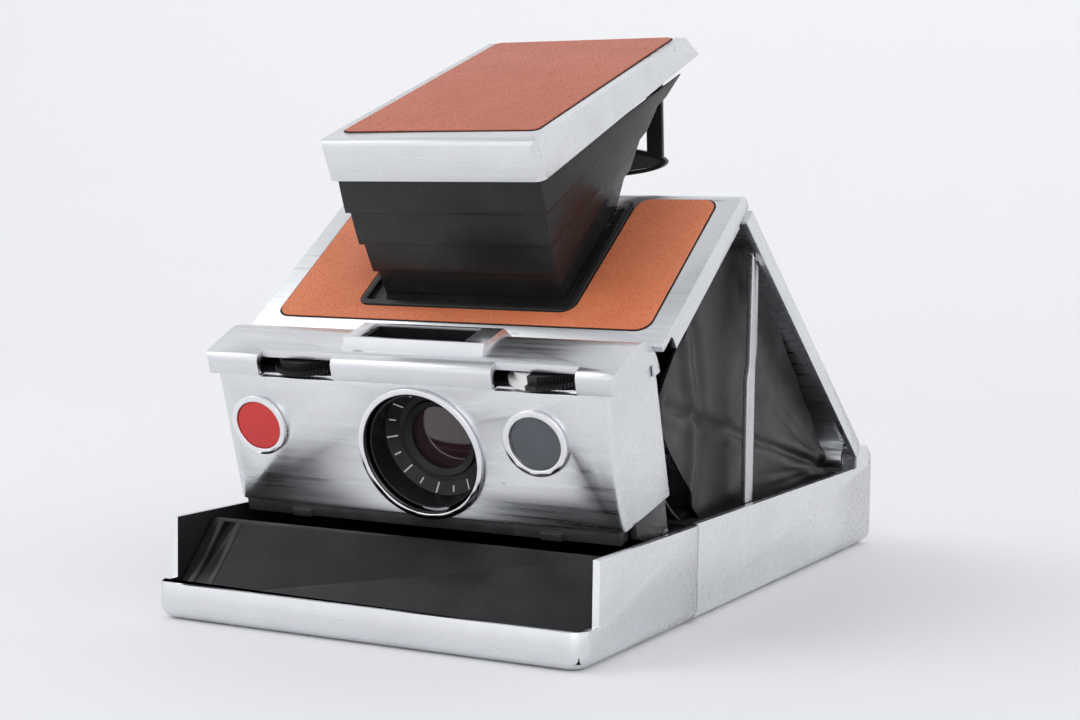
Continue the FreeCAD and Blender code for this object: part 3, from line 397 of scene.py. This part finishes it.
# %% Two-coloured wheel
def two_tone(name, split):
    material, tree, shader = start_material(name, roughness=0.4)
    parts = tree.nodes.new("ShaderNodeSeparateXYZ")
    tree.links.new(object_coords(tree), parts.inputs[0])
    dark_side = math_node(tree, "GREATER_THAN", parts.outputs["X"], split)
    moulded = use_group(tree, MOULDED, Dust=0.3)
    rub = ranged(tree, moulded.outputs["Rub"], 0.0, 1.0, 0.4, 0.8)
    pale = mix_colour(tree, rub, (0.80, 0.80, 0.79), (0.70, 0.70, 0.69))
    deep = mix_colour(tree, rub, (0.010, 0.010, 0.011), (0.022, 0.022, 0.024))
    tree.links.new(mix_colour(tree, dark_side, pale, deep), shader.inputs["Base Color"])
    add_bump(tree, shader, moulded.outputs["Texture"], 0.2, 0.00004)
    return material


WHEEL_TONES = two_tone("black_and_white_wheel", 29.5 * MM)
print(len(bpy.data.materials), "materials")

# %% [markdown]
# ## Finishes of the CAD pieces
# Most pieces keep their CAD shape and only get a finish. A table of material slots covers them all, and a few
# pieces then get their own.

# %% Finishes by slot
SLOT_MATERIAL = {
    "silver": SILVER, "steel": STEEL, "brass_parts": BRASS, "chrome_rims": CHROME, "tan_leather": TAN,
    "black_plastic": BLACK, "black_rubber": RUBBER, "red_plastic": RED, "clear_glass": CLEAR,
    "mirror_glass": MIRROR,
}
OWN_MATERIAL = {
    "front_glass": LENS_GLASS, "rear_glass": LENS_GLASS, "sensor_window": SENSOR_GLASS,
    "deck_flap": DECK_BLACK,
    "foot_brackets": IRON, "foot_rail": IRON, "housing_back": DULL_BLACK, "chassis": DULL_BLACK,
    "fresnel_carrier": DULL_BLACK, "finder_surround": HOOD_BLACK, "shutter_block": DULL_BLACK,
    "exposure_wheel": WHEEL_TONES,
}
for k in range(1, 5):
    OWN_MATERIAL["finder_frame_%d" % k] = HOOD_BLACK
slot_of = {row["node"]: row["material_slot"] for row in frame["record"]["subparts"]}
for name, obj in nodes.items():
    finish = OWN_MATERIAL.get(name, SLOT_MATERIAL[slot_of[name]])
    if not obj.material_slots:
        obj.data.materials.append(finish)
    for material_slot in obj.material_slots:
        material_slot.material = finish
print("finishes given to", len(nodes), "pieces")

# %% [markdown]
# ## Softened shells
# No real edge is perfectly sharp: a bright line of light runs along each plated edge. A copy of each shell is
# merged and its flat faces joined, and a Bevel modifier then rounds the sharp edges. The faces that look
# inwards can get a second, black finish.

# %% A softened copy of a CAD piece
body_of_node = {n: b for b, ns in frame["record"]["behaviour"]["bodies"].items() for n in ns}


def softened(node, width, materials, inside=None, segments=2, sharp=40):
    source = nodes[node]
    obj = source.copy()
    obj.data = source.data.copy()
    obj.parent = None
    obj.matrix_world = source.matrix_world.copy()
    bpy.context.collection.objects.link(obj)
    for key in list(obj.keys()):
        del obj[key]
    only(obj)
    obj.data.materials.clear()
    bpy.ops.object.mode_set(mode="EDIT")
    bpy.ops.mesh.select_all(action="SELECT")
    bpy.ops.mesh.remove_doubles(threshold=0.002 * MM)
    bpy.ops.mesh.dissolve_limited(angle_limit=math.radians(0.5))
    bpy.ops.object.mode_set(mode="OBJECT")
    if inside:
        for face in obj.data.polygons:
            face.material_index = 1 if inside(face.center, face.normal) else 0
    apply_modifier(obj, "BEVEL", width=width * MM, segments=segments, limit_method="ANGLE",
                   angle_limit=math.radians(sharp), use_clamp_overlap=True, miter_outer="MITER_ARC")
    only(obj)
    bpy.ops.object.shade_smooth_by_angle(angle=math.radians(35))
    return settle(obj, node + "_soft", "world", body_of_node[node], materials, (node,))


def inside_door(centre, normal):
    x, y, z = centre / MM
    floor = normal.z > 0.9 and z < 3.0
    wall = z > 1.4 and abs(normal.z) < 0.9
    return abs(x) < 50.1 and y > -87.6 and z > 1.3 and (floor or wall)


def to_local(where, centre, normal):
    back = local_matrix(where).inverted()
    return back @ centre / MM, back.to_3x3() @ normal


def inside_cover(centre, normal):
    place, facing = to_local("housing", centre, normal)
    under = facing.z < -0.3
    behind_lip = facing.y > 0.3 and place.y < 1.0
    before_back = facing.y < -0.3 and place.y > 15.0
    return abs(place.x) < 49.0 and (under or behind_lip or before_back)


softened("base_shell", 0.35, [SILVER])
softened("film_door_shell", 0.35, [SILVER, BLACK], inside_door, sharp=62)
softened("rear_cover", 0.35, [SILVER])
softened("front_cover", 0.35, [SILVER])
softened("housing_shell", 0.3, [SILVER])
softened("top_cover", 0.14, [SILVER, BLACK], inside_cover)
softened("cap_shell", 0.6, [SILVER], segments=3)
for rim in ("lens_ring", "sensor_ring", "button_ring"):
    softened(rim, 0.16, [CHROME])
for k in range(1, 5):
    softened("finder_frame_%d" % k, 0.12, [HOOD_BLACK])
for black_part in ("finder_surround", "eyepiece_frame", "foot_brackets", "foot_rail", "deck_flap"):
    softened(black_part, 0.22, [OWN_MATERIAL.get(black_part, BLACK)])
softened("side_braces", 0.2, [STEEL])
print("shells softened")

# %% [markdown]
# ## Leather
# Three panels of leather are glued to the camera. A die cuts each from a thin hide, and the cut edge rolls
# over a little. A thin black sheet under the outer edge is painted shade for the gap round each panel. Each
# panel is a plane cut to its outline, with its corners rounded as vertices, then thickened and given a soft
# edge. The painted shade sheet is the same outline, a little larger and much thinner.

# %% Panels
def outline_plate(low, high, top, thick, radius, notch=None):
    """A flat plate with round corners. A notch (half width, depth) is cut into the side at high Y."""
    (x0, y0), (x1, y1) = low, high
    new_plane((x0 + x1) / 2, (y0 + y1) / 2, x1 - x0, y1 - y0, top)
    plate = bpy.context.object
    bpy.ops.object.mode_set(mode="EDIT")
    if notch:
        half, reach = notch
        cuts = (((half, 0, 0), (1, 0, 0)), ((-half, 0, 0), (1, 0, 0)), ((0, reach, 0), (0, 1, 0)))
        for place, normal in cuts:
            bpy.ops.mesh.select_all(action="SELECT")
            bpy.ops.mesh.bisect(plane_co=[c * MM for c in place], plane_no=normal)
        select_faces(plate, lambda c, n: abs(c.x) < half * MM and c.y > reach * MM)
        bpy.ops.mesh.delete(type="FACE")
        bpy.ops.mesh.select_all(action="SELECT")
        bpy.ops.mesh.dissolve_limited(angle_limit=math.radians(1))
    bpy.ops.mesh.select_mode(type="VERT")
    bpy.ops.mesh.select_all(action="SELECT")
    bpy.ops.mesh.bevel(offset=radius * MM, segments=8, affect="VERTICES")
    bpy.ops.object.mode_set(mode="OBJECT")
    apply_modifier(plate, "SOLIDIFY", thickness=thick * MM, offset=-1.0)
    return plate


def new_plane(x, y, width, length, top):
    bpy.ops.object.select_all(action="DESELECT")
    bpy.ops.mesh.primitive_plane_add(size=1.0, location=(x * MM, y * MM, top * MM))
    bpy.ops.transform.resize(value=(width * MM, length * MM, 1.0))
    bpy.ops.object.transform_apply(location=True, rotation=True, scale=True)


def leather_panel(node, where, low, high, base, radius, hide, notch=None):
    edge = 0.32
    shade_sheet_notch = (notch[0] - edge, notch[1] - edge) if notch else None
    wide_low, wide_high = [c - edge for c in low], [c + edge for c in high]
    # A thin black sheet, a little larger than the panel, is painted shade: it stands in for the shadow in the
    # gap round the panel's edge.
    shade_sheet = outline_plate(wide_low, wide_high, base + 0.12, 0.1, radius, shade_sheet_notch)
    panel = outline_plate(low, high, base + 0.4, 0.36, radius, notch)
    apply_modifier(panel, "BEVEL", width=0.17 * MM, segments=3, limit_method="ANGLE",
                   angle_limit=math.radians(60))
    only(panel)
    bpy.ops.object.shade_smooth_by_angle(angle=math.radians(50))
    panel.data.materials.append(hide)
    # The black finish on this sheet is painted shade.
    shade_sheet.data.materials.append(DULL_BLACK)
    shade_sheet.select_set(True)
    bpy.ops.object.join()
    print(node, "has", len(panel.data.polygons), "faces")
    return settle(panel, node + "_hide", where, body_of_node[node], (), (node,))


HIDE_W, COVER_TOP, CAP_HIDE_W, CAP_TOP = 46.4, 3.2, 23.9, 9.4
leather_panel("front_leather", "front", (-HIDE_W, -47.4), (HIDE_W, -0.9), COVER_TOP, 3.4, TAN, (27.3, -42.9))
leather_panel("rear_leather", "rear", (-HIDE_W, -104.8), (HIDE_W, -9.4), COVER_TOP, 3.4, TAN)
leather_panel("cap_leather", "cap", (-CAP_HIDE_W, 5.4), (CAP_HIDE_W, 79.7), CAP_TOP, 1.8, RUSSET)

# %% [markdown]
# ## Bellows
# A rubber bellows closes the space between the covers and the body. It is moulded thin, and it folds down
# along the same creases each time, so these stay visible when the camera is open. Each side is a fine grid
# cut to its outline and then pushed in and out: one long crease runs back and down to the rear corner, a soft
# bulge stands near the front and short creases spread from the rear corner. A front sheet joins the sides.

# %% Bellows sheets
SIDE_OUTLINE = [(-9.4, 81.4), (-44.0, 58.8), (-48.4, 50.7), (-42.0, 30.6), (-29.7, 21.2), (72.0, 20.5),
                (70.8, 23.7)]
SIDE_X = 46.7


def line_distance(y, z, start, end):
    """Distance to a segment and how far along it the nearest point lies, from 0 to 1."""
    (y0, z0), (y1, z1) = start, end
    dy, dz = y1 - y0, z1 - z0
    share = max(0.0, min(1.0, ((y - y0) * dy + (z - z0) * dz) / (dy * dy + dz * dz)))
    return math.hypot(y - y0 - share * dy, z - z0 - share * dz), share


def side_depth(y, z):
    """How far the side sheet lies inside the bellows' greatest width, in millimetres."""
    depth = 1.5
    away, share = line_distance(y, z, (-38.0, 47.0), (68.0, 22.6))
    depth += 1.2 * math.exp(-(away / 1.1) ** 2) * (0.6 + 0.4 * share)
    depth -= 0.5 * math.exp(-((away - 2.6) / 1.6) ** 2)
    bulge = y + 23.0 + 0.012 * (z - 40.0) ** 2
    depth -= 1.0 * math.exp(-(bulge / 3.2) ** 2)
    depth += 0.5 * math.exp(-((bulge - 6.0) / 2.2) ** 2)
    for aim in ((20.0, 21.6), (10.0, 26.0), (16.0, 47.0), (36.0, 42.0)):
        away, share = line_distance(y, z, (70.0, 22.4), aim)
        depth += 0.55 * math.exp(-(away / 0.7) ** 2) * (1.0 - share)
    depth += 0.25 * math.sin(y * 0.21 + z * 0.13) + 0.15 * math.sin(z * 0.45 - y * 0.1)
    return max(0.1, depth)


def bellows_side(side):
    bpy.ops.object.select_all(action="DESELECT")
    bpy.ops.mesh.primitive_grid_add(x_subdivisions=180, y_subdivisions=96, size=1.0)
    sheet = bpy.context.object
    bpy.ops.transform.resize(value=(124 * MM, 64 * MM, 1.0))
    bpy.ops.object.transform_apply(location=True, rotation=True, scale=True)
    sheet.matrix_world = Matrix(((0, 0, side, 0), (side, 0, 0, 12 * MM), (0, 1, 0, 51 * MM), (0, 0, 0, 1)))
    bpy.ops.object.transform_apply(location=True, rotation=True, scale=True)
    bpy.ops.object.mode_set(mode="EDIT")
    count = len(SIDE_OUTLINE)
    for k in range(count):
        (y0, z0), (y1, z1) = SIDE_OUTLINE[k], SIDE_OUTLINE[(k + 1) % count]
        bpy.ops.mesh.select_all(action="SELECT")
        bpy.ops.mesh.bisect(plane_co=(0, y0 * MM, z0 * MM), plane_no=(0, z0 - z1, y1 - y0), clear_inner=True)
    bpy.ops.object.mode_set(mode="OBJECT")
    for vertex in sheet.data.vertices:
        y, z = vertex.co.y / MM, vertex.co.z / MM
        vertex.co.x = side * (SIDE_X - side_depth(y, z)) * MM
    return sheet


def bellows_front():
    """The sheet that joins the two sides behind the lens housing, drawn out across the camera."""
    points = SIDE_OUTLINE[1:5]
    bpy.ops.object.select_all(action="DESELECT")
    bpy.ops.mesh.primitive_grid_add(x_subdivisions=64, y_subdivisions=36, size=1.0)
    sheet = bpy.context.object
    steps = [math.dist(points[k], points[k + 1]) for k in range(len(points) - 1)]
    whole = sum(steps)
    for vertex in sheet.data.vertices:
        reach = (vertex.co.y + 0.5) * whole
        k = 0
        while k < len(steps) - 1 and reach > steps[k]:
            reach -= steps[k]
            k += 1
        share = min(1.0, reach / steps[k])
        y = points[k][0] + share * (points[k + 1][0] - points[k][0])
        z = points[k][1] + share * (points[k + 1][1] - points[k][1])
        x = vertex.co.x * 2 * (SIDE_X - side_depth(y, z))
        sag = 0.5 * math.cos(math.pi * vertex.co.x) * (0.5 + 0.5 * math.sin(z * 0.5))
        vertex.co = (x * MM, (y + sag + 0.3) * MM, z * MM)
    return sheet


sheets = [bellows_side(1), bellows_side(-1), bellows_front()]
only(sheets[0])
for sheet in sheets[1:]:
    sheet.select_set(True)
bpy.ops.object.join()
bellows = bpy.context.object
bpy.ops.object.mode_set(mode="EDIT")
bpy.ops.mesh.select_all(action="SELECT")
bpy.ops.mesh.remove_doubles(threshold=0.05 * MM)
bpy.ops.mesh.normals_make_consistent(inside=False)
bpy.ops.object.mode_set(mode="OBJECT")
apply_modifier(bellows, "SOLIDIFY", thickness=0.5 * MM, offset=-1.0)
only(bellows)
bpy.ops.object.shade_smooth_by_angle(angle=math.radians(60))
settle(bellows, "bellows_skin", "world", "root", [RUBBER], ("bellows",))
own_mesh(bellows)
print("bellows has", len(bellows.data.polygons), "faces")

# %% [markdown]
# ## Marks on the lens
# Short white lines are printed on the sloping ring inside the lens cup. One thin bar is modelled and copied
# round the lens, each copy turned to its place on the slope. The ring turns with the lens when it focuses.

# %% Printed lines
LENS_X, LENS_U = 2.0, 14.4
SLOPE = math.atan2(1.6, 2.5)


def printed_line(turn, length):
    bpy.ops.object.select_all(action="DESELECT")
    bpy.ops.mesh.primitive_cube_add(size=1.0)
    line = bpy.context.object
    bpy.ops.transform.resize(value=(length * MM, 0.14 * MM, 0.32 * MM))
    bpy.ops.object.transform_apply(location=True, rotation=True, scale=True)
    apply_modifier(line, "BEVEL", width=0.04 * MM, segments=1)
    lay = Matrix.Translation((11.5 * MM, 7.52 * MM, 0)) @ Matrix.Rotation(-SLOPE, 4, "Z")
    round_lens = Matrix.Translation((LENS_X * MM, 0, LENS_U * MM)) @ Matrix.Rotation(turn, 4, "Y")
    line.matrix_world = round_lens @ lay
    return line


lines = [printed_line(math.radians(20 * k), 2.4 if k % 2 else 1.5) for k in range(18)]
only(lines[0])
for line in lines[1:]:
    line.select_set(True)
bpy.ops.object.transform_apply(location=True, rotation=True, scale=True)
bpy.ops.object.join()
settle(bpy.context.object, "lens_marks", "housing", "lens_barrel", [WHITE])
print("printed", len(lines), "lines")

# %% [markdown]
# ## Viewpoint, backdrop and light
# A pale sheet of paper lies under the camera and curves up behind it, so no horizon shows. Three soft lights
# stand round it, and the sky is darker overhead, so that plated faces which look up read as grey. The key
# light is high on the left, so a soft shadow falls to the right.

# %% Camera
camera_data = bpy.data.cameras.new("view_camera")
camera_data.lens = 63.93
camera_data.shift_y = 0.0065
camera_data.clip_start = 0.01
camera = bpy.data.objects.new("view_camera", camera_data)
bpy.context.collection.objects.link(camera)
eye = Vector((208.2, -412.9, 86.9)) * MM
target = Vector((-55.51, 99.53, 41.88)) * MM
ROLL = math.radians(0.81)
look = (target - eye).to_track_quat("-Z", "Y").to_matrix().to_4x4()
camera.matrix_world = Matrix.Translation(eye) @ look @ Matrix.Rotation(ROLL, 4, "Z")
bpy.context.scene.camera = camera

# %% Backdrop and sky
bpy.ops.object.select_all(action="DESELECT")
bpy.ops.mesh.primitive_grid_add(x_subdivisions=4, y_subdivisions=120, size=1.0, location=(0, 0, 0))
backdrop = bpy.context.object
backdrop.name = "backdrop"
BEND_START, BEND_RADIUS = 0.45, 0.9
for vertex in backdrop.data.vertices:
    reach = -1.6 + (vertex.co.y + 0.5) * 5.0
    turn = max(0.0, min(math.pi / 2, (reach - BEND_START) / BEND_RADIUS))
    rise = max(0.0, reach - BEND_START - BEND_RADIUS * math.pi / 2)
    y = min(reach, BEND_START) + BEND_RADIUS * math.sin(turn)
    vertex.co = (vertex.co.x * 7.0, y, -0.0002 + BEND_RADIUS * (1 - math.cos(turn)) + rise)
only(backdrop)
bpy.ops.object.shade_smooth_by_angle(angle=math.radians(30))
backdrop_material, backdrop_tree, backdrop_shader = start_material("pale_backdrop", roughness=0.7)
paper = noise_node(backdrop_tree, object_coords(backdrop_tree), 3.0)
backdrop_tree.links.new(mix_colour(backdrop_tree, paper, (0.93, 0.93, 0.935), (0.91, 0.91, 0.92)),
                        backdrop_shader.inputs["Base Color"])
backdrop.data.materials.append(backdrop_material)

world = bpy.data.worlds.new("studio")
bpy.context.scene.world = world
world.use_nodes = True
sky = world.node_tree
direction = sky.nodes.new("ShaderNodeSeparateXYZ")
sky.links.new(sky.nodes.new("ShaderNodeTexCoord").outputs["Generated"], direction.inputs[0])
height = ranged(sky, direction.outputs["Z"], 0.0, 1.0, 0.35, 1.0)
shade = mix_colour(sky, height, (0.97, 0.975, 0.99), (0.40, 0.41, 0.43))
sky.links.new(shade, sky.nodes["Background"].inputs["Color"])
sky.nodes["Background"].inputs["Strength"].default_value = 1.12


def area_light(name, place, aim, size, power, colour=(1.0, 1.0, 1.0)):
    data = bpy.data.lights.new(name, "AREA")
    data.shape = "RECTANGLE"
    data.size, data.size_y = size
    data.energy = power
    data.color = colour
    light = bpy.data.objects.new(name, data)
    bpy.context.collection.objects.link(light)
    direction = Vector(aim) - Vector(place)
    light.matrix_world = Matrix.Translation(place) @ direction.to_track_quat("-Z", "Y").to_matrix().to_4x4()


area_light("key", (-0.9, -0.6, 1.1), (0, 0, 0.06), (0.9, 0.9), 4.0)
area_light("fill", (1.0, -1.1, 0.6), (0, 0, 0.06), (0.9, 0.9), 1.6)
area_light("top", (0.0, 0.3, 1.4), (0, 0, 0.05), (1.2, 1.2), 1.0)
bpy.context.scene.view_settings.view_transform = "Standard"
print("camera and light set")

# %% [markdown]
# The last cell brings the scene up to date.

# %% The end
bpy.context.view_layer.update()
